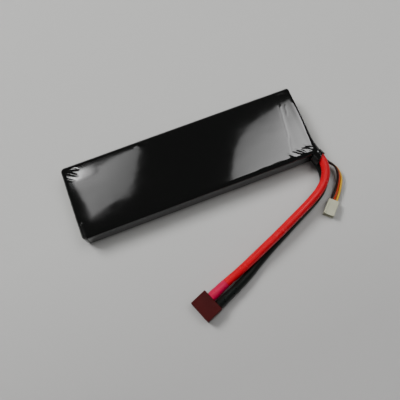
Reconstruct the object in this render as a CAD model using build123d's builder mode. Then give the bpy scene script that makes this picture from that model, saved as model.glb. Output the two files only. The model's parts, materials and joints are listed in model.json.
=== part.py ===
"""Soft-cased two-cell LiPo battery pack: pouch cells in a shrunk film wrap, a two-pole plug on
thick silicone leads and a three-way balance connector. Millimetres. Origin at the middle of the
pack's underside, +X towards the end where the leads come out, +Z up."""

from build123d import *
import math
import os

os.makedirs("parts", exist_ok=True)

# ---------------------------------------------------------------- driving dimensions
pack_length = 160.0
pack_width = 51.0
pack_height = 14.5
wrap_wall = 0.35
wrap_corner = 3.0

cell_length = 146.0
cell_thickness = 6.5
cell_corner = 2.4
cell_gap_tape = 0.3
tape_film = 0.1
terrace_length = 3.0
terrace_thickness = 0.6
card_thickness = 0.5

tab_width = 9.0
tab_thickness = 0.25
tab_offset = 14.5
tab_fold = 2.4
seal_film_length = 0.4

board_thickness = 1.0
board_gap = 0.5
board_height = 11.6
board_length = 42.0
pad_thickness = 0.1
slot_clearance = 0.3
output_pad_middle = 8.0
output_pad_width = 23.0
output_pad_height = 4.2
series_pad_middle = -14.0
series_pad_width = 12.0
series_pad_height = 10.4
sense_pad_middle = 7.0
sense_pad_size = 1.6
joint_radius = 0.75
lead_joint_face = 76.65
lead_joint_height = 3.9
lead_joint_length = 4.6

lead_diameter = 5.5
conductor_radius = 1.45
heatshrink_inner = 2.9
heatshrink_outer = 3.2
red_heatshrink_length = 12.5
black_heatshrink_length = 16.0
board_strip = 6.0

plug_width = 15.5
plug_length = 11.4
plug_height = 7.7
plug_angle = 22.0
plug_rear = (-17.30, -86.74)
contact_pitch = 6.6
contact_shift = -1.1
contact_thickness = 1.0
contact_tab_length = 4.2
contact_tab_width = 3.4
strip_back = 5.2
stub_gap = 0.8
solder_radius = 2.1
stem_slot_width = 6.6
bar_slot_height = 5.6
slot_thickness = 1.9
slot_depth = 9.0
blade_clearance = 0.4
blade_length = 8.2
spring_thickness = 0.3
spring_length = 6.4
spring_inset = 1.4
plug_round = 0.7

wire_diameter = 1.4
way_pitch = 2.0
way_size = 1.7
balance_width = 6.8
balance_length = 10.4
balance_height = 5.0
balance_angle = 45.0
balance_rear = (77.5, -56.0)
wire_depth = 1.5
crimp_radius = 0.7
crimp_length = 1.95
terminal_size = 1.5
terminal_length = 5.4
terminal_bore = 0.9
terminal_bore_depth = 4.8
window_length = 2.2
window_width = 1.2
window_place = 5.6
rib_width = 0.8
rib_height = 0.5
rib_stop = 3.0

mouth_length = 7.2
mouth_width = 12.4
mouth_bottom = 1.7
mouth_top = 13.4
end_window_width = 40.0
end_window_height = 5.8

# ---------------------------------------------------------------- worked-out places
inner_end = pack_length / 2 - wrap_wall
cell_start = -inner_end + card_thickness + 0.1
cell_end = cell_start + cell_length
stack_width = pack_width - 2 * wrap_wall - 2 * tape_film - 0.4
stack_height = 2 * cell_thickness + cell_gap_tape
stack_bottom = (pack_height - stack_height) / 2
lower_middle = stack_bottom + cell_thickness / 2
upper_middle = stack_bottom + stack_height - cell_thickness / 2
terrace_end = cell_end + terrace_length
board_back = terrace_end + board_gap
board_face = board_back + board_thickness
pad_face = board_face + pad_thickness
board_middle = pack_height / 2

# Routes of the free leads and wires, chosen by hand: from the tab board, out of the mouth at the
# wrap's corner, and along the table to the plug or the balance connector.
red_route = [
    (74.75, -3.5, 10.4),
    (74.75, -12.0, 10.4),
    (77.6, -20.5, 10.4),
    (80.9, -29.6, 10.1),
    (79.4, -38.6, 9.2),
    (73.0, -46.1, 8.7),
    (62.6, -52.0, 8.4),
    (50.4, -57.3, 8.4),
    (36.0, -63.7, 8.2),
    (20.6, -70.0, 7.7),
    (9.2, -74.6, 6.3),
    (1.0, -77.5, 4.2),
    (-5.144, -79.456, 3.85),
    (-13.303, -82.752, 3.85),
]
black_route = [
    (74.75, -3.5, 4.8),
    (74.75, -12.5, 4.8),
    (76.9, -21.5, 4.75),
    (79.1, -30.5, 4.5),
    (78.8, -39.2, 3.5),
    (74.2, -46.2, 2.9),
    (64.7, -52.0, 2.8),
    (52.4, -57.8, 2.8),
    (37.7, -64.9, 2.8),
    (22.4, -72.3, 2.8),
    (9.2, -79.9, 3.2),
    (1.038, -84.077, 3.85),
    (-10.831, -88.872, 3.85),
]
balance_black_route = [
    (73.3, 7.0, 11.3),
    (78.1, 7.0, 11.3),
    (78.2, -3.0, 8.4),
    (78.15, -13.0, 6.85),
    (81.0, -20.5, 6.8),
    (83.6, -29.6, 6.5),
    (87.9, -35.4, 6.0),
    (87.05, -42.2, 4.5),
    (82.6, -48.5, 3.0),
    (78.3, -52.9, 2.5),
    (75.03, -55.65, 2.5),
]
balance_red_route = [
    (73.3, 7.0, 7.1),
    (78.1, 7.0, 7.1),
    (78.2, -3.0, 6.0),
    (78.15, -13.0, 5.3),
    (81.0, -20.5, 5.3),
    (83.7, -29.5, 5.05),
    (88.6, -35.2, 4.7),
    (88.3, -42.6, 3.8),
    (83.8, -49.4, 2.9),
    (79.5, -54.1, 2.55),
    (76.44, -57.06, 2.5),
]
balance_yellow_route = [
    (73.3, 7.0, 2.9),
    (78.1, 7.0, 2.9),
    (78.2, -3.0, 3.5),
    (78.15, -13.0, 3.75),
    (81.0, -20.5, 3.8),
    (83.9, -29.4, 3.6),
    (89.3, -35.0, 3.4),
    (89.55, -43.0, 3.1),
    (85.0, -50.3, 2.8),
    (80.7, -55.3, 2.6),
    (77.85, -58.47, 2.5),
]


def finish(piece, node):
    """Label a finished piece with its node's name and write it."""
    piece.part.label = node
    export_step(piece.part, f"parts/{node}.step")


def corner_radii(points):
    """One radius for each corner of a route: as large as its two runs allow."""
    runs = [Vector(*b) - Vector(*a) for a, b in zip(points, points[1:])]
    radii = []
    for before, after in zip(runs, runs[1:]):
        half_turn = math.radians(before.get_angle(after)) / 2
        radii.append(0.45 * min(before.length, after.length) / math.tan(half_turn))
    return radii


def lead(points, diameter, node):
    """A round lead along straight runs joined by tangent arcs."""
    radii = corner_radii(points)
    with BuildPart() as tube:
        with BuildLine() as path:
            FilletPolyline(*points, radius=radii)
        centreline = path.wire()
        with BuildSketch(Plane(origin=centreline @ 0, z_dir=centreline % 0)):
            Circle(diameter / 2)
        sweep(path=centreline)
    share = tube.part.volume / (math.pi * diameter**2 / 4 * centreline.length)
    print(f"{node}: length {centreline.length:.1f}, volume {share:.4f} of section x length")
    print("  radii in diameters:", " ".join(f"{radius / diameter:.1f}" for radius in radii))
    finish(tube, node)


# ---------------------------------------------------------------- wrap
with BuildPart() as outer_wrap:
    with BuildSketch(Plane.XY):
        RectangleRounded(pack_length, pack_width, wrap_corner)
    extrude(amount=pack_height)
    end_rims = outer_wrap.faces().filter_by(Axis.Z).edges()
    fillet(end_rims, wrap_corner - 0.05)
    inner_corner = wrap_corner - wrap_wall
    with BuildSketch(Plane.XY.offset(wrap_wall)):
        RectangleRounded(pack_length - 2 * wrap_wall, pack_width - 2 * wrap_wall, inner_corner)
    inside = extrude(amount=pack_height - 2 * wrap_wall, mode=Mode.PRIVATE)
    inside_rims = inside.faces().filter_by(Axis.Z).edges()
    add(inside.fillet(inner_corner - 0.05, inside_rims), mode=Mode.SUBTRACT)
    mouth_middle = (pack_length / 2 - mouth_length / 2 + 0.5, -pack_width / 2 + mouth_width / 2 - 0.5)
    with BuildSketch(Plane.XY.offset(mouth_bottom)):
        with Locations(mouth_middle):
            Rectangle(mouth_length + 1.0, mouth_width + 1.0)
    extrude(amount=mouth_top - mouth_bottom, mode=Mode.SUBTRACT)
    with BuildSketch(Plane.YZ.offset(-pack_length / 2)):
        with Locations((0, pack_height / 2)):
            RectangleRounded(end_window_width, end_window_height, end_window_height / 3)
    extrude(amount=wrap_wall, mode=Mode.SUBTRACT)
    front_window_start = -pack_width / 2 + mouth_width - 0.5
    front_window_end = end_window_width / 2
    with BuildSketch(Plane.YZ.offset(pack_length / 2)):
        with Locations(((front_window_start + front_window_end) / 2, pack_height / 2)):
            Rectangle(front_window_end - front_window_start, end_window_height)
    extrude(amount=-wrap_wall, mode=Mode.SUBTRACT)
finish(outer_wrap, "outer_wrap")

card_height = stack_height - 4
with BuildPart() as tail_card:
    with BuildSketch(Plane.YZ.offset(-inner_end + 0.05)):
        with Locations((0, pack_height / 2)):
            RectangleRounded(stack_width - 4, card_height, 1.5)
    extrude(amount=card_thickness)
finish(tail_card, "tail_card")

front_card_start = -pack_width / 2 + mouth_width + 1.0
front_card_end = stack_width / 2 - 2
with BuildPart() as front_card:
    with BuildSketch(Plane.YZ.offset(inner_end - 0.05)):
        with Locations(((front_card_start + front_card_end) / 2, pack_height / 2)):
            RectangleRounded(front_card_end - front_card_start, card_height, 1.5)
    extrude(amount=-card_thickness)
finish(front_card, "front_card")


# ---------------------------------------------------------------- cells
def pouch_cell(middle, node):
    """A pouch cell with its sealed terrace at the tab end."""
    with BuildPart() as cell:
        with BuildSketch(Plane.YZ.offset(cell_start)):
            with Locations((0, middle)):
                RectangleRounded(stack_width, cell_thickness, cell_corner)
        extrude(amount=cell_length)
        fillet(cell.faces().sort_by(Axis.X)[0].edges(), cell_corner - 0.2)
        with BuildSketch(Plane.YZ.offset(cell_end)):
            with Locations((0, middle)):
                Rectangle(stack_width - 3, terrace_thickness)
        extrude(amount=terrace_length)
    finish(cell, node)


pouch_cell(lower_middle, "lower_cell")
pouch_cell(upper_middle, "upper_cell")

with BuildPart() as cell_tape:
    with BuildSketch(Plane.XY.offset(stack_bottom + cell_thickness)):
        with Locations(((cell_start + cell_end) / 2, 0)):
            Rectangle(cell_length - 16, stack_width - 2 * cell_corner - 4)
    extrude(amount=cell_gap_tape)
finish(cell_tape, "cell_tape")


def tape_band(start, width, node):
    """A turn of film tape around both cells."""
    with BuildPart() as band:
        with BuildSketch(Plane.YZ.offset(start)):
            with Locations((0, pack_height / 2)):
                RectangleRounded(
                    stack_width + 2 * tape_film, stack_height + 2 * tape_film, cell_corner + tape_film
                )
                RectangleRounded(stack_width, stack_height, cell_corner, mode=Mode.SUBTRACT)
        extrude(amount=width)
    finish(band, node)


band_width = 12.0
tape_band(cell_start + band_width, band_width, "rear_tape_band")
tape_band(cell_end - 20.0, band_width, "front_tape_band")


# ---------------------------------------------------------------- tabs and tab board
def cell_tab(side, middle, fold, node):
    """A flat tab out of a cell's terrace, through the board and folded onto its outer face."""
    fold_face = pad_face + tab_thickness
    with BuildPart() as tab:
        with BuildSketch(Plane.XY.offset(middle - tab_thickness / 2)):
            with Locations(((terrace_end + fold_face) / 2, side * tab_offset)):
                Rectangle(fold_face - terrace_end, tab_width)
        extrude(amount=tab_thickness)
        with BuildSketch(Plane.YZ.offset(pad_face)):
            with Locations((side * tab_offset, middle + fold * tab_fold / 2)):
                Rectangle(tab_width, tab_fold)
        extrude(amount=tab_thickness)
    finish(tab, node)


cell_tab(1, upper_middle, -1, "upper_positive_tab")
cell_tab(-1, upper_middle, -1, "upper_negative_tab")
cell_tab(-1, lower_middle, 1, "lower_positive_tab")
cell_tab(1, lower_middle, 1, "lower_negative_tab")

tab_places = [
    (side * tab_offset, middle) for side in (-1, 1) for middle in (lower_middle, upper_middle)
]

with BuildPart() as tab_seal_films:
    with BuildSketch(Plane.YZ.offset(terrace_end)):
        with Locations(*tab_places):
            Rectangle(tab_width + 2, terrace_thickness)
            Rectangle(tab_width, tab_thickness, mode=Mode.SUBTRACT)
    extrude(amount=seal_film_length)
finish(tab_seal_films, "tab_seal_films")

with BuildPart() as tab_board:
    with BuildSketch(Plane.YZ.offset(board_back)):
        with Locations((0, board_middle)):
            RectangleRounded(board_length, board_height, 0.8)
        with Locations(*tab_places):
            Rectangle(tab_width + slot_clearance, tab_thickness + slot_clearance, mode=Mode.SUBTRACT)
    extrude(amount=board_thickness)
finish(tab_board, "tab_board")

with BuildPart() as board_pads:
    with BuildSketch(Plane.YZ.offset(board_face)):
        with Locations((output_pad_middle, upper_middle), (output_pad_middle, lower_middle)):
            Rectangle(output_pad_width, output_pad_height)
        with Locations((series_pad_middle, board_middle)):
            Rectangle(series_pad_width, series_pad_height)
        with Locations((sense_pad_middle, board_middle)):
            Rectangle(sense_pad_size, sense_pad_size)
        with Locations(*tab_places):
            Rectangle(tab_width + slot_clearance, tab_thickness + slot_clearance, mode=Mode.SUBTRACT)
    extrude(amount=pad_thickness)
finish(board_pads, "board_pads")

with BuildPart() as terrace_foam:
    foam_height = upper_middle - lower_middle - terrace_thickness - 0.4
    with BuildSketch(Plane.YZ.offset(cell_end + 0.2)):
        with Locations((0, board_middle)):
            RectangleRounded(stack_width - 8, foam_height, 0.8)
    extrude(amount=terrace_length + 0.1)
finish(terrace_foam, "terrace_foam")

# ---------------------------------------------------------------- main leads
lead(red_route, lead_diameter, "red_main_lead")
lead(black_route, lead_diameter, "black_main_lead")

plug_axis = Vector(math.cos(math.radians(plug_angle)), math.sin(math.radians(plug_angle)))
plug_origin = Vector(plug_rear[0], plug_rear[1], plug_height / 2)
# x of this plane runs across the plug, y runs up, and its normal points back along the leads
plug_back = Plane(origin=plug_origin, x_dir=(-plug_axis.Y, plug_axis.X, 0), z_dir=plug_axis)


def bare_ends(side, route, node):
    """The stripped ends of one lead: one on the tab board, one over its plug contact's tab."""
    board_end = route[0]
    across = side * contact_pitch / 2 + contact_shift
    with BuildPart() as ends:
        with BuildSketch(Plane(origin=board_end, x_dir=(1, 0, 0), z_dir=(0, 1, 0))):
            Circle(conductor_radius)
        extrude(amount=board_strip)
        with BuildSketch(plug_back.offset(stub_gap)):
            with Locations((across, 0)):
                Circle(conductor_radius)
        extrude(amount=strip_back - stub_gap - 0.01)
        with BuildSketch(plug_back.offset(stub_gap)):
            with Locations((across, 0)):
                Rectangle(2 * conductor_radius + 1, contact_thickness)
        extrude(amount=contact_tab_length - stub_gap, mode=Mode.SUBTRACT)
    finish(ends, node)


bare_ends(1, red_route, "red_lead_conductor")
bare_ends(-1, black_route, "black_lead_conductor")


def board_joint(route, node):
    """The solder that holds a main lead's bare end to its pad."""
    end_x, end_y, end_z = route[0]
    joint_depth = lead_joint_face - pad_face
    with BuildPart() as joint:
        with BuildSketch(Plane.XZ.offset(-(end_y + 0.8))):
            with Locations((pad_face + joint_depth / 2, end_z)):
                RectangleRounded(joint_depth, lead_joint_height, conductor_radius)
                with Locations((end_x - pad_face - joint_depth / 2, 0)):
                    Circle(conductor_radius, mode=Mode.SUBTRACT)
        extrude(amount=-lead_joint_length)
    finish(joint, node)


board_joint(red_route, "red_lead_joint")
board_joint(black_route, "black_lead_joint")

balance_routes = [balance_black_route, balance_red_route, balance_yellow_route]
with BuildPart() as balance_joints:
    for route in balance_routes:
        with BuildSketch(Plane.YZ.offset(pad_face)):
            with Locations((route[0][1], route[0][2])):
                Circle(joint_radius)
        extrude(amount=route[0][0] - pad_face)
finish(balance_joints, "balance_joints")


def heatshrink(side, length, node):
    """The sleeve over one soldered joint behind the plug."""
    with BuildPart() as sleeve:
        with BuildSketch(plug_back.offset(0.1)):
            with Locations((side * contact_pitch / 2 + contact_shift, 0)):
                Circle(heatshrink_outer)
                Circle(heatshrink_inner, mode=Mode.SUBTRACT)
        extrude(amount=length)
    finish(sleeve, node)


heatshrink(1, red_heatshrink_length, "red_heatshrink")
heatshrink(-1, black_heatshrink_length, "black_heatshrink")

# ---------------------------------------------------------------- plug
stem_place = (contact_shift + contact_pitch / 2, 0)
bar_place = (contact_shift - contact_pitch / 2, 0)

with BuildPart() as plug_housing:
    with BuildSketch(plug_back):
        Rectangle(plug_width, plug_height)
    extrude(amount=-plug_length)
    along_plug = Axis((0, 0, 0), tuple(plug_axis))
    fillet(plug_housing.edges().filter_by(along_plug), plug_round)
    chamfer(plug_housing.faces().sort_by(along_plug)[0].edges(), 0.4)
    chamfer(plug_housing.faces().sort_by(along_plug)[-1].edges(), 0.3)
    with BuildSketch(plug_back.offset(-plug_length)):
        with Locations(stem_place):
            Rectangle(stem_slot_width, slot_thickness)
        with Locations(bar_place):
            Rectangle(slot_thickness, bar_slot_height)
    extrude(amount=slot_depth, mode=Mode.SUBTRACT)
    with BuildSketch(plug_back):
        with Locations(stem_place, bar_place):
            Rectangle(contact_tab_width, contact_thickness)
    extrude(amount=-plug_length, mode=Mode.SUBTRACT)
finish(plug_housing, "plug_housing")


def plug_contact(place, blade_width, blade_height, node):
    """A blade in its slot of the T, with a flat solder tab out of the back."""
    with BuildPart() as contact:
        with BuildSketch(plug_back.offset(slot_depth - plug_length)):
            with Locations(place):
                Rectangle(blade_width, blade_height)
        extrude(amount=-blade_length)
        with BuildSketch(plug_back.offset(slot_depth - plug_length)):
            with Locations(place):
                Rectangle(contact_tab_width, contact_thickness)
        extrude(amount=plug_length - slot_depth + contact_tab_length)
    finish(contact, node)


stem_width = stem_slot_width - blade_clearance
bar_height = bar_slot_height - blade_clearance
plug_contact(stem_place, stem_width, contact_thickness, "plug_positive_contact")
plug_contact(bar_place, contact_thickness, bar_height, "plug_negative_contact")

spring_offset = contact_thickness / 2 + spring_thickness / 2
with BuildPart() as plug_contact_springs:
    with BuildSketch(plug_back.offset(spring_inset - plug_length)):
        with Locations((stem_place[0], -spring_offset)):
            Rectangle(stem_width - 1.2, spring_thickness)
        with Locations((bar_place[0] - spring_offset, 0)):
            Rectangle(spring_thickness, bar_height - 1.2)
    extrude(amount=spring_length)
finish(plug_contact_springs, "plug_contact_springs")

with BuildPart() as plug_solder_joints:
    with BuildSketch(plug_back.offset(stub_gap)):
        with Locations(stem_place, bar_place):
            Circle(solder_radius)
            Circle(conductor_radius, mode=Mode.SUBTRACT)
            Rectangle(contact_tab_width, contact_thickness, mode=Mode.SUBTRACT)
    extrude(amount=contact_tab_length - stub_gap - 0.3)
finish(plug_solder_joints, "plug_solder_joints")

# ---------------------------------------------------------------- balance lead
lead(balance_black_route, wire_diameter, "balance_wire_black")
lead(balance_red_route, wire_diameter, "balance_wire_red")
lead(balance_yellow_route, wire_diameter, "balance_wire_yellow")

balance_axis = Vector(math.cos(math.radians(balance_angle)), math.sin(math.radians(balance_angle)))
balance_origin = Vector(balance_rear[0], balance_rear[1], balance_height / 2)
balance_back = Plane(
    origin=balance_origin, x_dir=(-balance_axis.Y, balance_axis.X, 0), z_dir=balance_axis
)
way_places = [(place * way_pitch, 0) for place in (-1, 0, 1)]
rib_offset = balance_width / 2 - 0.6
rib_places = [(-rib_offset, balance_height / 2), (rib_offset, balance_height / 2)]

with BuildPart() as balance_housing:
    with BuildSketch(balance_back):
        RectangleRounded(balance_width, balance_height, 0.3)
    extrude(amount=-balance_length)
    with BuildSketch(balance_back.offset(-balance_length)):
        with Locations(*rib_places):
            Rectangle(rib_width, 2 * rib_height)
    extrude(amount=balance_length - rib_stop)
    with BuildSketch(balance_back):
        with Locations(*way_places):
            Rectangle(way_size, way_size)
    extrude(amount=-balance_length, mode=Mode.SUBTRACT)
    window_plane = Plane(
        origin=balance_origin - balance_axis * window_place - Vector(0, 0, balance_height / 2 + 0.1),
        x_dir=(-balance_axis.Y, balance_axis.X, 0),
    )
    with BuildSketch(window_plane):
        with Locations(*way_places):
            Rectangle(window_width, window_length)
    extrude(amount=(balance_height - way_size) / 2 + 0.3, mode=Mode.SUBTRACT)
finish(balance_housing, "balance_housing")

with BuildPart() as balance_terminals:
    with BuildSketch(balance_back.offset(-wire_depth - 0.05)):
        with Locations(*way_places):
            Circle(crimp_radius)
    extrude(amount=-crimp_length)
    with BuildSketch(balance_back.offset(-wire_depth - 0.05 - crimp_length)):
        with Locations(*way_places):
            Rectangle(terminal_size, terminal_size)
    extrude(amount=-terminal_length)
    with BuildSketch(balance_back.offset(-wire_depth - 0.05 - crimp_length - terminal_length)):
        with Locations(*way_places):
            Rectangle(terminal_bore, terminal_bore)
    extrude(amount=terminal_bore_depth, mode=Mode.SUBTRACT)
finish(balance_terminals, "balance_terminals")
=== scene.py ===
"""Looks for a film-wrapped LiPo battery pack lying on a pale table. Metres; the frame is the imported
model's: origin under the middle of the pack, +X towards the end the leads leave, +Z up."""

import json
import math

import bmesh
import bpy
from mathutils import Matrix, Vector, noise


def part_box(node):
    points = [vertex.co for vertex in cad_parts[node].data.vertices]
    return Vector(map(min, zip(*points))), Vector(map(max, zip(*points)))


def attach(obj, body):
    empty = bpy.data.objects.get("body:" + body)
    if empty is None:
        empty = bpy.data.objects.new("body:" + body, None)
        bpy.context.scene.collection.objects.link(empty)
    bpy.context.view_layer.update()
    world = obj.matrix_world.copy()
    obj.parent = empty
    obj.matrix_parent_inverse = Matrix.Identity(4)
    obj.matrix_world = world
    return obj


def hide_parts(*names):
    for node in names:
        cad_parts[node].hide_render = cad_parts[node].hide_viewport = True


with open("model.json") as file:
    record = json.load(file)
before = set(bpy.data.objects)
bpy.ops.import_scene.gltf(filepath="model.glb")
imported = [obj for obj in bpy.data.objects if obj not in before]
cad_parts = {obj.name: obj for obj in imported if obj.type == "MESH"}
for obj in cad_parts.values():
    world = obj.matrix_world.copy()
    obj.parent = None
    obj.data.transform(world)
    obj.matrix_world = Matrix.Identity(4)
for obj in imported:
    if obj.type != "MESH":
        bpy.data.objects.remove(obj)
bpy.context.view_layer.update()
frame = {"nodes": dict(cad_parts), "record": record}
nodes = frame["nodes"]
MM = 0.001


# ---------------------------------------------------------------- camera
def place_camera():
    """A 45 mm lens almost straight above the pack, a little behind the leads' side."""
    data = bpy.data.cameras.new("camera")
    data.lens = 45
    data.sensor_width = 36
    data.clip_start = 0.01
    camera = bpy.data.objects.new("camera", data)
    bpy.context.scene.collection.objects.link(camera)
    heading, tilt, roll = math.radians(74.70), math.radians(18.04), math.radians(-5.90)
    turn = (
        Matrix.Rotation(heading - math.pi / 2, 4, "Z")
        @ Matrix.Rotation(tilt, 4, "X")
        @ Matrix.Rotation(roll, 4, "Z")
    )
    camera.matrix_world = Matrix.Translation((-0.0285, -0.1206, 0.3105)) @ turn
    bpy.context.scene.camera = camera


place_camera()


# ---------------------------------------------------------------- node helpers
class Graph:
    """A material's node tree, with short calls for the nodes that every finish uses."""

    def __init__(self, name):
        self.material = bpy.data.materials.new(name)
        self.material.use_nodes = True
        self.tree = self.material.node_tree
        self.tree.nodes.clear()
        self.shader = self.add("ShaderNodeBsdfPrincipled")
        output = self.add("ShaderNodeOutputMaterial")
        self.tree.links.new(self.shader.outputs["BSDF"], output.inputs["Surface"])
        self.place = self.add("ShaderNodeTexCoord").outputs["Object"]

    def add(self, kind, **settings):
        node = self.tree.nodes.new(kind)
        for key, value in settings.items():
            setattr(node, key, value)
        return node

    def link(self, source, target):
        self.tree.links.new(source, target)

    def stretched(self, scale):
        """Object coordinates, scaled separately along each axis."""
        mapping = self.add("ShaderNodeMapping")
        mapping.inputs["Scale"].default_value = scale
        self.link(self.place, mapping.inputs["Vector"])
        return mapping.outputs["Vector"]

    def noise(self, scale, detail=3.0, roughness=0.5, vector=None):
        texture = self.add("ShaderNodeTexNoise")
        texture.inputs["Scale"].default_value = scale
        texture.inputs["Detail"].default_value = detail
        texture.inputs["Roughness"].default_value = roughness
        self.link(vector or self.place, texture.inputs["Vector"])
        return texture.outputs["Fac"]

    def spread(self, value, low, high, start=0.3, end=0.7):
        """value remapped from start..end to low..high."""
        node = self.add("ShaderNodeMapRange")
        node.inputs["From Min"].default_value = start
        node.inputs["From Max"].default_value = end
        node.inputs["To Min"].default_value = low
        node.inputs["To Max"].default_value = high
        self.link(value, node.inputs["Value"])
        return node.outputs["Result"]

    def mix(self, value, first, second):
        """Colour from first to second as value goes from 0 to 1."""
        node = self.add("ShaderNodeMix", data_type="RGBA")
        node.inputs["A"].default_value = (*first, 1)
        node.inputs["B"].default_value = (*second, 1)
        self.link(value, node.inputs["Factor"])
        return node.outputs["Result"]

    def bump(self, value, distance, strength=1.0, under=None):
        node = self.add("ShaderNodeBump")
        node.inputs["Distance"].default_value = distance
        node.inputs["Strength"].default_value = strength
        self.link(value, node.inputs["Height"])
        if under is not None:
            self.link(under, node.inputs["Normal"])
        return node.outputs["Normal"]

    def finish(self, colour=None, roughness=None, normal=None, **constants):
        if colour is not None:
            self.link(colour, self.shader.inputs["Base Color"])
        if roughness is not None:
            self.link(roughness, self.shader.inputs["Roughness"])
        if normal is not None:
            self.link(normal, self.shader.inputs["Normal"])
        for key, value in constants.items():
            self.shader.inputs[key.replace("_", " ")].default_value = value
        return self.material


def lighter(colour, share):
    return tuple(min(1.0, c * share) for c in colour)


def film_finish(name):
    """Glossy black shrunk film: faint orange peel, hair scratches and hazy handling marks."""
    g = Graph(name)
    haze = g.noise(60, 4, 0.6)
    dust = g.noise(900, 2, 0.5)
    colour = g.mix(g.spread(dust, 0, 1, 0.62, 0.8), (0.0014, 0.0016, 0.0014), (0.006, 0.006, 0.0055))
    scratch = g.noise(220, 2, 0.6, g.stretched((0.25, 3.0, 3.0)))
    peel = g.bump(g.noise(420, 2), 0.000004, 0.3)
    normal = g.bump(scratch, 0.000002, 0.3, peel)
    return g.finish(colour, g.spread(haze, 0.04, 0.065), normal, IOR=1.55)


def silicone_finish(name, colour, deep, roughness):
    """Soft silicone insulation: even colour, a dull sheen and very fine drag marks."""
    g = Graph(name)
    tint = g.mix(g.spread(g.noise(140, 3), 0, 1), colour, deep)
    normal = g.bump(g.noise(900, 2, 0.5), 0.000012, 0.3)
    return g.finish(tint, g.spread(g.noise(260, 3), *roughness), normal, IOR=1.42)


def sleeve_finish(name, colour, deep):
    """Thin shrunk tube: glossier than the lead, with shallow dimples where it gripped."""
    g = Graph(name)
    tint = g.mix(g.spread(g.noise(300, 3), 0, 1), colour, deep)
    normal = g.bump(g.noise(480, 3, 0.55), 0.00012, 0.4)
    return g.finish(tint, g.spread(g.noise(600, 2), 0.26, 0.42), normal, IOR=1.47)


def moulded_finish(name, colour, shade, roughness=(0.38, 0.55), grain=0.00003):
    """Moulded nylon: mould grain and slight flow variation."""
    g = Graph(name)
    flow = g.noise(110, 3, 0.55, g.stretched((1.0, 0.6, 1.4)))
    tint = g.mix(g.spread(flow, 0, 1), colour, shade)
    normal = g.bump(g.noise(2600, 3, 0.6), grain, 0.5)
    return g.finish(tint, g.spread(g.noise(700, 2), *roughness), normal, IOR=1.5)


def metal_finish(name, colour, roughness, brushed=(1.0, 1.0, 1.0), grain=0.00002):
    g = Graph(name)
    lines = g.noise(900, 3, 0.6, g.stretched(brushed))
    tint = g.mix(g.spread(lines, 0, 1), colour, lighter(colour, 0.82))
    normal = g.bump(lines, grain, 0.4)
    return g.finish(tint, g.spread(g.noise(300, 3), *roughness), normal, Metallic=1.0)


def insulation_finish(name, colour):
    g = Graph(name)
    tint = g.mix(g.spread(g.noise(350, 3), 0, 1), colour, lighter(colour, 0.75))
    normal = g.bump(g.noise(2200, 2), 0.00002, 0.3)
    return g.finish(tint, g.spread(g.noise(500, 2), 0.3, 0.45), normal, IOR=1.5)


def fibre_finish(name, colour):
    """Pressed fibre card: short crossing fibres and a mottled, dry surface."""
    g = Graph(name)
    fibres = g.noise(1100, 4, 0.7, g.stretched((1.0, 0.25, 1.0)))
    tint = g.mix(g.spread(fibres, 0, 1), colour, lighter(colour, 0.62))
    return g.finish(tint, g.spread(fibres, 0.8, 0.95), g.bump(fibres, 0.00008, 0.5))


def foam_finish(name, colour):
    g = Graph(name)
    cells = g.add("ShaderNodeTexVoronoi")
    cells.inputs["Scale"].default_value = 1600
    g.link(g.place, cells.inputs["Vector"])
    tint = g.mix(g.spread(cells.outputs["Distance"], 0, 1, 0, 0.8), lighter(colour, 0.7), colour)
    normal = g.bump(cells.outputs["Distance"], 0.00015, 0.6)
    return g.finish(tint, g.spread(g.noise(400), 0.85, 0.95), normal)


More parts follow.
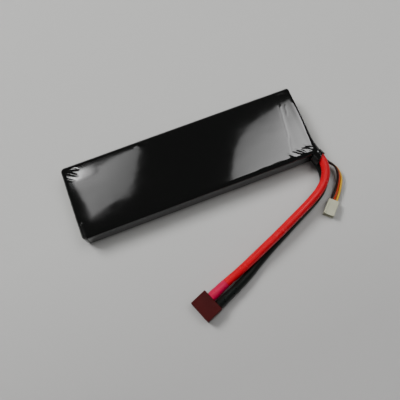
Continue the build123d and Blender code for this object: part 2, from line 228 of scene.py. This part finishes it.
finishes = {
    "wrap_film": film_finish("wrap_film"),
    "fibre_card": fibre_finish("fibre_card", (0.48, 0.52, 0.42)),
    "pouch_foil": metal_finish("pouch_foil", (0.7, 0.71, 0.72), (0.3, 0.42), (0.2, 1.0, 1.0), 0.00005),
    "foam_tape": foam_finish("foam_tape", (0.7, 0.7, 0.66)),
    "amber_tape": moulded_finish("amber_tape", (0.55, 0.24, 0.03), (0.42, 0.16, 0.02), (0.15, 0.25)),
    "aluminium_tab": metal_finish("aluminium_tab", (0.8, 0.81, 0.82), (0.25, 0.4), (0.1, 1.0, 1.0)),
    "nickel_tab": metal_finish("nickel_tab", (0.66, 0.62, 0.56), (0.28, 0.42), (0.1, 1.0, 1.0)),
    "seal_film": moulded_finish("seal_film", (0.75, 0.74, 0.66), (0.6, 0.58, 0.5), (0.3, 0.4)),
    "board_laminate": moulded_finish("board_laminate", (0.02, 0.16, 0.06), (0.012, 0.11, 0.04)),
    "copper_pad": metal_finish("copper_pad", (0.72, 0.36, 0.2), (0.28, 0.4)),
    "red_silicone": silicone_finish(
        "red_silicone", (0.56, 0.0012, 0.012), (0.50, 0.001, 0.010), (0.22, 0.28)
    ),
    "black_silicone": silicone_finish(
        "black_silicone", (0.0022, 0.0036, 0.0028), (0.004, 0.0055, 0.0045), (0.32, 0.44)
    ),
    "tinned_copper": metal_finish("tinned_copper", (0.68, 0.67, 0.65), (0.3, 0.45), (3.0, 0.3, 3.0), 0.0001),
    "solder": metal_finish("solder", (0.62, 0.63, 0.64), (0.2, 0.35)),
    "pink_sleeve": sleeve_finish("pink_sleeve", (0.52, 0.0015, 0.055), (0.42, 0.0012, 0.042)),
    "black_sleeve": sleeve_finish("black_sleeve", (0.0022, 0.0038, 0.0030), (0.004, 0.0060, 0.0050)),
    "maroon_nylon": moulded_finish("maroon_nylon", (0.052, 0.0010, 0.0012), (0.038, 0.0007, 0.0009)),
    "gold_plate": metal_finish("gold_plate", (0.85, 0.62, 0.26), (0.18, 0.3)),
    "spring_steel": metal_finish("spring_steel", (0.6, 0.6, 0.6), (0.25, 0.35)),
    "black_wire": insulation_finish("black_wire", (0.020, 0.008, 0.007)),
    "red_wire": insulation_finish("red_wire", (0.42, 0.035, 0.004)),
    "yellow_wire": insulation_finish("yellow_wire", (0.62, 0.36, 0.015)),
    "ivory_nylon": moulded_finish("ivory_nylon", (0.45, 0.45, 0.33), (0.38, 0.38, 0.27), (0.4, 0.55)),
    "tinned_brass": metal_finish("tinned_brass", (0.7, 0.68, 0.6), (0.25, 0.38)),
}

for subpart in frame["record"]["subparts"]:
    mesh = nodes[subpart["node"]].data
    mesh.materials.clear()
    mesh.materials.append(finishes[subpart["material_slot"]])


# ---------------------------------------------------------------- free leads and wires
def cord_piece(name, route, diameter, slot, replaced, exit, length, with_pieces, **facts):
    """A round cord on a NURBS line through its route's control points."""
    data = bpy.data.curves.new(name, "CURVE")
    data.dimensions = "3D"
    data.resolution_u = 14
    data.bevel_depth = diameter / 2
    data.bevel_resolution = 8
    data.use_fill_caps = True
    spline = data.splines.new("NURBS")
    spline.points.add(len(route) - 1)
    for point, place in zip(spline.points, route):
        point.co = (*place, 1)
    spline.order_u = 3
    spline.use_endpoint_u = True
    data.materials.append(finishes[slot])
    piece = bpy.data.objects.new(name, data)
    bpy.context.scene.collection.objects.link(piece)
    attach(piece, "root")
    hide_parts(replaced)
    return piece


red_route = [
    (0.07475, -0.0035, 0.0104),
    (0.07475, -0.0120, 0.0104),
    (0.0776, -0.0205, 0.0104),
    (0.0809, -0.0296, 0.0101),
    (0.0794, -0.0386, 0.0092),
    (0.0730, -0.0461, 0.0087),
    (0.0626, -0.0520, 0.0084),
    (0.0504, -0.0573, 0.0084),
    (0.0360, -0.0637, 0.0082),
    (0.0206, -0.0700, 0.0077),
    (0.0092, -0.0746, 0.0063),
    (0.0010, -0.0775, 0.0042),
    (-0.005144, -0.079456, 0.00385),
    (-0.013303, -0.082752, 0.00385),
]
black_route = [
    (0.07475, -0.0035, 0.0048),
    (0.07475, -0.0125, 0.0048),
    (0.0769, -0.0215, 0.00475),
    (0.0791, -0.0305, 0.0045),
    (0.0788, -0.0392, 0.0035),
    (0.0742, -0.0462, 0.0029),
    (0.0647, -0.0520, 0.0028),
    (0.0524, -0.0578, 0.0028),
    (0.0377, -0.0649, 0.0028),
    (0.0224, -0.0723, 0.0028),
    (0.0092, -0.0799, 0.0032),
    (0.001038, -0.084077, 0.00385),
    (-0.010831, -0.088872, 0.00385),
]
balance_black_route = [
    (0.0733, 0.0070, 0.0113),
    (0.0781, 0.0070, 0.0113),
    (0.0782, -0.0030, 0.0084),
    (0.07815, -0.0130, 0.00685),
    (0.0810, -0.0205, 0.0068),
    (0.0836, -0.0296, 0.0065),
    (0.0879, -0.0354, 0.0060),
    (0.08705, -0.0422, 0.0045),
    (0.0826, -0.0485, 0.0030),
    (0.0783, -0.0529, 0.0025),
    (0.07503, -0.05565, 0.0025),
]
balance_red_route = [
    (0.0733, 0.0070, 0.0071),
    (0.0781, 0.0070, 0.0071),
    (0.0782, -0.0030, 0.0060),
    (0.07815, -0.0130, 0.0053),
    (0.0810, -0.0205, 0.0053),
    (0.0837, -0.0295, 0.00505),
    (0.0886, -0.0352, 0.0047),
    (0.0883, -0.0426, 0.0038),
    (0.0838, -0.0494, 0.0029),
    (0.0795, -0.0541, 0.00255),
    (0.07644, -0.05706, 0.0025),
]
balance_yellow_route = [
    (0.0733, 0.0070, 0.0029),
    (0.0781, 0.0070, 0.0029),
    (0.0782, -0.0030, 0.0035),
    (0.07815, -0.0130, 0.00375),
    (0.0810, -0.0205, 0.0038),
    (0.0839, -0.0294, 0.0036),
    (0.0893, -0.0350, 0.0034),
    (0.08955, -0.0430, 0.0031),
    (0.0850, -0.0503, 0.0028),
    (0.0807, -0.0553, 0.0026),
    (0.07785, -0.05847, 0.0025),
]

LEAD_DIAMETER = 0.0055
WIRE_DIAMETER = 0.0014
PLUG_AXIS = Vector((math.cos(math.radians(22)), math.sin(math.radians(22)), 0))
PLUG_REAR = Vector((-0.01730, -0.08674, 0.00385))
CONTACT_HALF_PITCH = 3.3 * MM
CONTACT_SHIFT = -1.1 * MM
SLEEVE_RADIUS = 2.90
SLEEVE_INNER_RADIUS = 2.775
SLEEVE_RINGS, SLEEVE_FOLDED_RINGS, SLEEVE_COLUMNS = 44, 6, 40


def sleeve(name, side, length, slot, replaced, seed):
    """A shrunk sleeve: wide over the soldered joint, close on the lead, with its end folded in."""
    across = Vector((-PLUG_AXIS.y, PLUG_AXIS.x, 0))
    start = PLUG_REAR + across * (side * CONTACT_HALF_PITCH + CONTACT_SHIFT) + PLUG_AXIS * 0.1 * MM
    rings, columns = SLEEVE_RINGS, SLEEVE_COLUMNS
    bm = bmesh.new()
    made = []
    for i in range(rings + SLEEVE_FOLDED_RINGS):
        if i < rings:
            t = i / (rings - 1)
            along = t * length
            joint = 0.50 * math.exp(-(((along - 2.6) / 2.6) ** 2))
            strands = 0.14 * math.exp(-(((along - 7.6) / 2.5) ** 2))
            lip = 0.05 * math.exp(-along / 0.5)
            radius = SLEEVE_RADIUS + 0.55 * (joint + strands) + lip
            if i == rings - 1:
                radius -= 0.05
        else:
            along = length - 0.35 * (i - rings)
            radius = SLEEVE_INNER_RADIUS
        ring = []
        for k in range(columns):
            angle = 2 * math.pi * k / columns
            flat = Vector((math.cos(angle), math.sin(angle)))
            lump = noise.noise(Vector((along * 0.45, flat.x * 1.3 + seed, flat.y * 1.3)))
            size = radius + (0.07 * lump if i < rings else 0)
            edge = 0.14 * noise.noise(Vector((seed, flat.x * 1.6, flat.y * 1.6))) if i >= rings - 1 else 0
            place = start + PLUG_AXIS * (along + edge) * MM
            place = place + across * flat.x * size * MM + Vector((0, 0, flat.y * size * MM))
            ring.append(bm.verts.new(place))
        made.append(ring)
    for lower, upper in zip(made, made[1:]):
        for k in range(columns):
            j = (k + 1) % columns
            bm.faces.new((lower[k], lower[j], upper[j], upper[k]))
    bmesh.ops.recalc_face_normals(bm, faces=bm.faces)
    piece = mesh_piece(name, bm, slot)
    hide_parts(replaced)
    return piece


def mesh_piece(name, bm, slot):
    """A new object made of a finished bmesh, riding on the body, with its slot's finish."""
    mesh = bpy.data.meshes.new(name)
    bm.to_mesh(mesh)
    bm.free()
    for polygon in mesh.polygons:
        polygon.use_smooth = True
    mesh.materials.append(finishes[slot])
    piece = bpy.data.objects.new(name, mesh)
    bpy.context.scene.collection.objects.link(piece)
    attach(piece, "root")
    return piece


red_sleeve = sleeve("red_lead_sleeve", 1, 12.5, "pink_sleeve", "red_heatshrink", 3.1)
black_sleeve = sleeve("black_lead_sleeve", -1, 16.0, "black_sleeve", "black_heatshrink", 8.4)

plug_pieces = [
    "plug_housing",
    "plug_positive_contact",
    "plug_negative_contact",
    "plug_contact_springs",
    "plug_solder_joints",
]
main_exit = (0.078, -0.021)
cord_piece(
    "red_lead_cord",
    red_route,
    LEAD_DIAMETER,
    "red_silicone",
    "red_main_lead",
    (*main_exit, 0.0104),
    0.1398,
    plug_pieces + [red_sleeve, "red_lead_conductor"],
    far_end="plug",
    stiffness="medium",
    lay="loose",
)
cord_piece(
    "black_lead_cord",
    black_route,
    LEAD_DIAMETER,
    "black_silicone",
    "black_main_lead",
    (*main_exit, 0.0048),
    0.1395,
    plug_pieces + [black_sleeve, "black_lead_conductor"],
    far_end="plug",
    stiffness="medium",
    lay="loose",
)
balance_cords = [
    ("black", balance_black_route, 0.0738, 0.0070),
    ("red", balance_red_route, 0.0745, 0.0054),
    ("yellow", balance_yellow_route, 0.0758, 0.0038),
]
for colour, route, length, height in balance_cords:
    cord_piece(
        f"balance_cord_{colour}",
        route,
        WIRE_DIAMETER,
        f"{colour}_wire",
        f"balance_wire_{colour}",
        (0.0795, -0.017, height),
        length,
        ["balance_housing", "balance_terminals"],
        far_end="connector",
        stiffness="limp",
        lay="loose",
    )


# ---------------------------------------------------------------- wrap
WRAP_LOW, WRAP_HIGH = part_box("outer_wrap")
LENGTH = (WRAP_HIGH.x - WRAP_LOW.x) / MM
HALF_WIDTH = (WRAP_HIGH.y - WRAP_LOW.y) / MM / 2
HALF_HEIGHT = (WRAP_HIGH.z - WRAP_LOW.z) / MM / 2
EDGE = 2.6
FILM_LIP = 4.3
FILM_THICKNESS = 0.28
COLLAR_THICKNESS = 0.25
TOP_COLUMNS, SIDE_COLUMNS, CORNER_COLUMNS = 96, 22, 9


def smooth(value, start, end):
    """0 before start, 1 after end, and smooth in between."""
    t = min(1.0, max(0.0, (value - start) / (end - start)))
    return t * t * (3 - 2 * t)


def wavy(x, y, z=0.0, scale=1.0):
    return noise.noise(Vector((x * scale, y * scale, z * scale)))


def section(inset):
    """Points round the pack's cross-section, pulled in by inset: (y, z) pairs, always as many."""
    width, height = HALF_WIDTH - inset, HALF_HEIGHT - inset
    corner = max(EDGE - inset * 0.75, 0.5)
    points = []
    sides = [
        ((-1, 1), (1, 1), TOP_COLUMNS, 90),
        ((1, 1), (1, -1), SIDE_COLUMNS, 0),
        ((1, -1), (-1, -1), TOP_COLUMNS, -90),
        ((-1, -1), (-1, 1), SIDE_COLUMNS, -180),
    ]
    for start, end, columns, angle in sides:
        across = start[1] == end[1]
        for k in range(columns):
            t = k / columns
            y = start[0] + (end[0] - start[0]) * t
            z = start[1] + (end[1] - start[1]) * t
            reach_y = (width - corner) if across else width
            reach_z = height if across else (height - corner)
            points.append((y * reach_y, z * reach_z))
        for k in range(CORNER_COLUMNS):
            a = math.radians(angle - 90 * k / CORNER_COLUMNS)
            centre_y = end[0] * (width - corner)
            centre_z = end[1] * (height - corner)
            points.append((centre_y + corner * math.cos(a), centre_z + corner * math.sin(a)))
    return points


def end_round(y, far):
    """How round the wrap's end edge is: tight where the card is tight, slack by the mouth."""
    if not far:
        return 2.9 + 0.9 * smooth(-y, 10, 22) + 0.4 * wavy(y * 0.2, 4.0)
    return 1.3 + 2.0 * smooth(-y, -12, 25) + 0.25 * wavy(y * 0.35, 9.0)


def wrap_rings():
    """(kind, far end or not, x or share) for every ring from the back window to the front one."""
    rows = []
    for k in range(7):
        rows.append(("face", 0, 1 - k / 7))
    for k in range(8):
        rows.append(("round", 0, k / 8))
    x = -LENGTH / 2 + 2.6
    while x < LENGTH / 2 - 3.3:
        rows.append(("body", 0, x))
        if x < -66:
            x += 0.6
        elif x < 60:
            x += 1.6
        else:
            x += 0.45
    for k in range(9):
        rows.append(("round", 1, 1 - k / 9))
    for k in range(9):
        rows.append(("face", 1, k / 8))
    return rows


# (start x, start y, end x, end y, half width, height): folds of film standing on the top
TOP_FOLDS = [
    (-78.5, 22.0, -70.5, 16.5, 0.6, 0.06),
    (-77.0, 24.0, -69.0, 20.5, 0.55, -0.05),
    (-79.0, 17.5, -73.5, 14.0, 0.6, 0.05),
    (-30.5, 25.0, -26.5, 20.5, 0.5, 0.06),
    (-25.0, 25.0, -21.5, 20.0, 0.5, -0.05),
    (69.3, 14.0, 65.2, -9.0, 0.55, 0.022),
    (65.8, -8.0, 62.4, -21.0, 0.5, -0.018),
    (72.5, 13.0, 71.0, 6.0, 0.6, 0.02),
    (61.0, -19.5, 65.5, -24.5, 0.6, 0.08),
    (63.5, -19.5, 69.0, -24.0, 0.55, -0.075),
    (66.5, -18.5, 72.5, -23.5, 0.6, 0.09),
    (70.0, -19.5, 76.5, -23.0, 0.6, -0.08),
    (73.0, -17.5, 78.0, -20.5, 0.6, 0.08),
]


def fold_height(x, y):
    """The sum of the folds' heights at a place on the top."""
    total = 0.0
    for x0, y0, x1, y1, width, height in TOP_FOLDS:
        length = math.hypot(x1 - x0, y1 - y0)
        ux, uy = (x1 - x0) / length, (y1 - y0) / length
        along = (x - x0) * ux + (y - y0) * uy
        if -2 < along < length + 2:
            bend = 0.5 * wavy(along * 0.35, x0, y0)
            off = (x - x0) * -uy + (y - y0) * ux + bend
            fade = smooth(along, -1.5, 1.5) * (1 - smooth(along, length - 1.5, length + 1.5))
            total += height * fade * math.exp(-((off / width) ** 2))
    return total


MOUTH_LOW = Vector((73.9, -32.0, 1.2))
MOUTH_HIGH = Vector((90.0, -23.2, 13.6))
MOUTH_ROUND = 2.4


def mouth_distance(x, y, z):
    """Signed distance to the mouth's rounded, wobbly opening; negative is inside it."""
    wobble = 0.45 * wavy(x * 0.5, y * 0.5, z * 0.5) + 0.2 * wavy(x * 1.1, y * 1.1, z * 1.1)
    middle = (MOUTH_LOW + MOUTH_HIGH) / 2
    half = (MOUTH_HIGH - MOUTH_LOW) / 2 - Vector((MOUTH_ROUND,) * 3)
    gap = [abs(c - m) - h for c, m, h in zip((x, y, z), middle, half)]
    outside = math.sqrt(sum(max(g, 0) ** 2 for g in gap))
    return outside + min(max(gap), 0) - MOUTH_ROUND + wobble


def film_offset(x, y, z, normal):
    """How far the film stands off its nominal surface here, in mm; negative is inwards."""
    up = max(0.0, normal.z)
    top = z > 2 * HALF_HEIGHT - 2.0
    off = -0.12 + 0.06 * wavy(x * 0.035, y * 0.05, z * 0.05) + 0.006 * wavy(x * 0.16, y * 0.2, z)
    if abs(normal.z) > 0.6:
        off -= 0.12 * (y / HALF_WIDTH) ** 4
        inner = 1 - smooth(abs(y), 21.0, 24.5)
        sink = smooth(x, 64.8 + 0.16 * y + 0.5 * wavy(y * 0.25, 1.0), 69.5 + 0.1 * y)
        sink *= 1 - smooth(x, 74.0, 78.4)
        depth = 0.05 + 0.03 * wavy(y * 0.08, 5.0)
        off -= sink * depth * inner
    elif abs(normal.y) > 0.6:
        off -= 0.14 * smooth(x, 50, 72) * (0.6 + 0.8 * wavy(x * 0.15, z * 0.2, 2.0))
    if top:
        off += up * fold_height(x, y)
    front_edge = smooth(-y, 21.5, 25.0) * smooth(x, 15, 70)
    off -= front_edge * 0.12 * (0.5 + wavy(x * 0.14, 3.0, z * 0.1))
    near_mouth = math.exp(-max(0.0, mouth_distance(x, y, z)) / 2.2)
    crumple = wavy(x * 0.28, y * 0.28, z * 0.30) + 0.25 * wavy(x * 0.6, y * 0.6, z * 0.6)
    off += near_mouth * (0.24 * crumple - 0.12)
    end = smooth(abs(x), 78.8, 79.8) * (1 - up)
    pleats = wavy(y * 0.55, z * 0.9, x * 0.02) + 0.5 * wavy(y * 1.3, z * 1.6, 4.0)
    off += end * (0.16 * pleats - 0.12)
    return min(off, 0.12)


def lead_bulge(x, y, z):
    """How far the leads push the wire end's film out beside the mouth, in mm along X."""
    height = max(0.0, 1 - ((z - 8.0) / 6.4) ** 2)
    return 2.5 * smooth(-y, 13.0, 24.5) * smooth(x, 74.0, 79.6) * height


def wrap_points():
    """The shrunk film's rings of points: a tube over the pack whose ends fold in to a window."""
    flat = section(0)
    cache = {}
    placed = []
    for kind, far, value in wrap_rings():
        sign = 1 if far else -1
        row = []
        for index, (y0, z0) in enumerate(flat):
            radius = end_round(y0, far)
            if kind == "body":
                x, inset = value, 0.0
            elif kind == "round":
                angle = (1 - value) * math.pi / 2
                x = sign * (LENGTH / 2 - radius + radius * math.sin(angle))
                inset = radius * (1 - math.cos(angle))
            else:
                ragged = 0.45 * wavy(y0 * 0.3, z0 * 0.5, sign * 6.0)
                inset = radius + (FILM_LIP + ragged - radius) * value
                curl = 0.35 * value * value
                x = sign * (LENGTH / 2 - curl)
            key = round(inset, 3)
            if key not in cache:
                cache[key] = section(key)
            y, z = cache[key][index]
            row.append(Vector((x, y, z + HALF_HEIGHT)))
        placed.append(row)
    return placed


def build_wrap():
    """The film wrap, cut open by the mouth, with its folds and its thickness."""
    placed = wrap_points()
    columns = len(placed[0])
    bm = bmesh.new()
    grid = [[bm.verts.new(point) for point in row] for row in placed]
    for lower, upper in zip(grid, grid[1:]):
        for k in range(columns):
            j = (k + 1) % columns
            bm.faces.new((lower[k], upper[k], upper[j], lower[j]))
    bm.normal_update()
    start = {v: v.co.copy() for v in bm.verts}
    normals = {v: v.normal.copy() for v in bm.verts}
    distance = {v: mouth_distance(*v.co) for v in bm.verts}
    doomed = [f for f in bm.faces if sum(distance[v] for v in f.verts) / len(f.verts) < 0]
    bmesh.ops.delete(bm, geom=doomed, context="FACES")
    for v in bm.verts:
        if v.is_boundary and abs(distance[v]) < 1.2 and abs(start[v].y) > 8:
            x, y, z = v.co
            step = 0.05
            slope = Vector(
                (
                    mouth_distance(x + step, y, z) - mouth_distance(x - step, y, z),
                    mouth_distance(x, y + step, z) - mouth_distance(x, y - step, z),
                    mouth_distance(x, y, z + step) - mouth_distance(x, y, z - step),
                )
            ) / (2 * step)
            slope -= normals[v] * slope.dot(normals[v])
            if slope.length > 0.3:
                v.co -= slope * (distance[v] / slope.length_squared)
    for v in bm.verts:
        push = lead_bulge(*start[v])
        v.co += normals[v] * film_offset(*start[v], normals[v])
        v.co.x += push
        v.co *= MM
    bmesh.ops.recalc_face_normals(bm, faces=bm.faces)
    piece = mesh_piece("shrunk_wrap", bm, "wrap_film")
    shell = piece.modifiers.new("film", "SOLIDIFY")
    shell.thickness = FILM_THICKNESS * MM
    shell.offset = -1
    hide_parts("outer_wrap")


build_wrap()


def build_collar():
    """The wrap's crumpled spout round the leads where they leave the corner."""
    rings, columns = 20, 72
    ahead = Vector((0.30, -0.954, 0))
    across = Vector((0.954, 0.30, 0))
    first = Vector((78.6, -23.9, 7.6))
    bm = bmesh.new()
    made = []
    for i in range(rings):
        t = i / (rings - 1)
        ring = []
        for k in range(columns):
            angle = 2 * math.pi * k / columns
            c, s = math.cos(angle), math.sin(angle)
            c = math.copysign(abs(c) ** 0.8, c)
            s = math.copysign(abs(s) ** 0.8, s)
            wide = (4.0 + 0.25 * t) if c > 0 else (3.7 + 0.1 * t)
            tall = 6.1 - 0.2 * t
            reach = 4.6 - 1.5 * c + 0.9 * wavy(c * 1.5, s * 1.5, 11.0)
            crumple = wavy(t * 2.2, c * 2.1, s * 2.6) + 0.25 * wavy(t * 4.0, c * 3.5, s * 4.0)
            size = 1 + 0.055 * crumple * smooth(t, 0.0, 0.35) + 0.03 * smooth(t, 0.8, 1.0)
            place = first + ahead * t * reach + across * c * wide * size
            place.z += s * tall * size
            place.z = max(place.z, 0.5)
            ring.append(bm.verts.new(place * MM))
        made.append(ring)
    for lower, upper in zip(made, made[1:]):
        for k in range(columns):
            j = (k + 1) % columns
            bm.faces.new((lower[k], lower[j], upper[j], upper[k]))
    bmesh.ops.recalc_face_normals(bm, faces=bm.faces)
    piece = mesh_piece("wrap_lead_collar", bm, "wrap_film")
    shell = piece.modifiers.new("film", "SOLIDIFY")
    shell.thickness = COLLAR_THICKNESS * MM
    shell.offset = 0


build_collar()


# ---------------------------------------------------------------- table, cards and lights
TABLE_DROP = 0.2 * MM
TABLE_REACH = 4


def table_finish():
    """Plain pale board, with painted shade: a little darker towards -Y, the leads' side."""
    g = Graph("table_top_painted_shade")
    split = g.add("ShaderNodeSeparateXYZ")
    g.link(g.place, split.inputs["Vector"])
    # painted shade: the board's colour darkens from Y -0.02 m to -0.13 m, standing in for light falling off
    # towards the bottom
    tint = g.mix(g.spread(split.outputs["Y"], 0, 1, -0.13, -0.02), (0.42, 0.416, 0.41), (0.50, 0.50, 0.488))
    return g.finish(tint, g.spread(g.noise(80, 3), 0.5, 0.62), IOR=1.45)


def build_table():
    bm = bmesh.new()
    corners = [(-1, -1), (1, -1), (1, 1), (-1, 1)]
    bm.faces.new([bm.verts.new((x * TABLE_REACH, y * TABLE_REACH, 0)) for x, y in corners])
    mesh = bpy.data.meshes.new("table")
    bm.to_mesh(mesh)
    bm.free()
    mesh.materials.append(table_finish())
    table = bpy.data.objects.new("table", mesh)
    table.location.z = -TABLE_DROP
    bpy.context.scene.collection.objects.link(table)


build_table()

MIRRORED_EYE = Vector((-0.0285, -0.1206, -0.2815))
CARD_HEIGHT = 1.0


def over(x, y):
    """Where a card at CARD_HEIGHT is, to show in the pack's top at (x, y) mm."""
    point = Vector((x * MM, y * MM, WRAP_HIGH.z))
    way = point - MIRRORED_EYE
    return point + way * ((CARD_HEIGHT - point.z) / way.z)


def card(name, outline, strengths, soft):
    """A soft-edged glowing card with its outline given where it shows on the pack's top, in mm."""
    middle = Vector((sum(p[0] for p in outline), sum(p[1] for p in outline))) / len(outline)
    bm = bmesh.new()
    glow = bm.loops.layers.float_color.new("glow")
    count = len(outline)
    steps = 6
    rings = []
    for step in range(steps + 1):
        share = step / steps
        ring = []
        for x, y in outline:
            way = Vector((x, y)) - middle
            reach = max(0.0, 1 - soft / way.length)
            scale = 1 - (1 - reach) * (1 - share)
            spot = middle + way * scale
            ring.append((bm.verts.new(over(spot.x, spot.y)), 1 - smooth(share, 0, 1)))
        rings.append(ring)
    centre = bm.verts.new(over(middle.x, middle.y))
    value = {}
    for ring in rings:
        for k, (vert, fade) in enumerate(ring):
            value[vert] = strengths[k] * fade
    value[centre] = sum(strengths) / count
    for k in range(count):
        j = (k + 1) % count
        bm.faces.new((centre, rings[0][k][0], rings[0][j][0]))
        for inner, outer in zip(rings, rings[1:]):
            bm.faces.new((inner[k][0], outer[k][0], outer[j][0], inner[j][0]))
    for face in bm.faces:
        for loop in face.loops:
            v = value[loop.vert]
            loop[glow] = (v, v, v, 1)
    mesh = bpy.data.meshes.new(name)
    bm.to_mesh(mesh)
    bm.free()
    material = bpy.data.materials.new(name)
    material.use_nodes = True
    tree = material.node_tree
    tree.nodes.clear()
    attribute = tree.nodes.new("ShaderNodeVertexColor")
    attribute.layer_name = "glow"
    emission = tree.nodes.new("ShaderNodeEmission")
    output = tree.nodes.new("ShaderNodeOutputMaterial")
    tree.links.new(attribute.outputs["Color"], emission.inputs["Strength"])
    tree.links.new(emission.outputs["Emission"], output.inputs["Surface"])
    mesh.materials.append(material)
    piece = bpy.data.objects.new(name, mesh)
    bpy.context.scene.collection.objects.link(piece)


card(
    "card_left",
    [
        (-26, 26),
        (-26.5, 18),
        (-31, 7),
        (-37, -3),
        (-44, -10),
        (-56, -12.5),
        (-71, -17),
        (-73.4, 4),
        (-75.6, 26),
    ],
    [2.6, 2.5, 2.3, 2.3, 2.4, 2.8, 3.4, 4.2, 6.0],
    3.0,
)
card(
    "card_right",
    [
        (69, 18.5),
        (57, 13.5),
        (45.5, 9.5),
        (35.5, 4.5),
        (29.5, -5),
        (24, -15),
        (16.5, -34),
        (50, -34),
        (100, -34),
        (100, -5),
        (92, 16),
    ],
    [2.5, 2.4, 2.4, 2.4, 2.6, 3.3, 3.4, 6.5, 13.0, 11.5, 7.0],
    2.0,
)
card(
    "card_corner",
    [(-56, 27), (-57, 18), (-63, 15.5), (-72, 14), (-75.5, 18), (-76, 27)],
    [6.0, 6.0, 10.0, 20.0, 30.0, 30.0],
    4.0,
)


LIGHT_AIM = (0, -0.03, 0)


def area_light(name, place, size, power):
    """A round soft light turned to the pack, not seen as a disk in glossy surfaces."""
    data = bpy.data.lights.new(name, "AREA")
    data.shape = "DISK"
    data.size = size
    data.energy = power
    light = bpy.data.objects.new(name, data)
    light.location = place
    light.rotation_mode = "QUATERNION"
    light.rotation_quaternion = (Vector(LIGHT_AIM) - Vector(place)).to_track_quat("-Z", "Y")
    light.visible_glossy = False
    bpy.context.scene.collection.objects.link(light)


area_light("key_light", (-0.75, 0.95, 1.35), 0.8, 34.0)
area_light("fill_light", (0.7, 0.1, 1.6), 1.4, 13.0)


def build_world():
    """Dim all round, brighter only at the very horizon."""
    world = bpy.data.worlds.new("studio")
    world.use_nodes = True
    tree = world.node_tree
    tree.nodes.clear()
    place = tree.nodes.new("ShaderNodeTexCoord")
    split = tree.nodes.new("ShaderNodeSeparateXYZ")
    ramp = tree.nodes.new("ShaderNodeValToRGB")
    ramp.color_ramp.elements[0].position = 0.0
    ramp.color_ramp.elements[0].color = (0.6, 0.6, 0.6, 1)
    ramp.color_ramp.elements[1].position = 0.16
    ramp.color_ramp.elements[1].color = (0.12, 0.12, 0.12, 1)
    background = tree.nodes.new("ShaderNodeBackground")
    output = tree.nodes.new("ShaderNodeOutputWorld")
    tree.links.new(place.outputs["Generated"], split.inputs["Vector"])
    tree.links.new(split.outputs["Z"], ramp.inputs["Fac"])
    tree.links.new(ramp.outputs["Color"], background.inputs["Color"])
    tree.links.new(background.outputs["Background"], output.inputs["Surface"])
    bpy.context.scene.world = world


build_world()
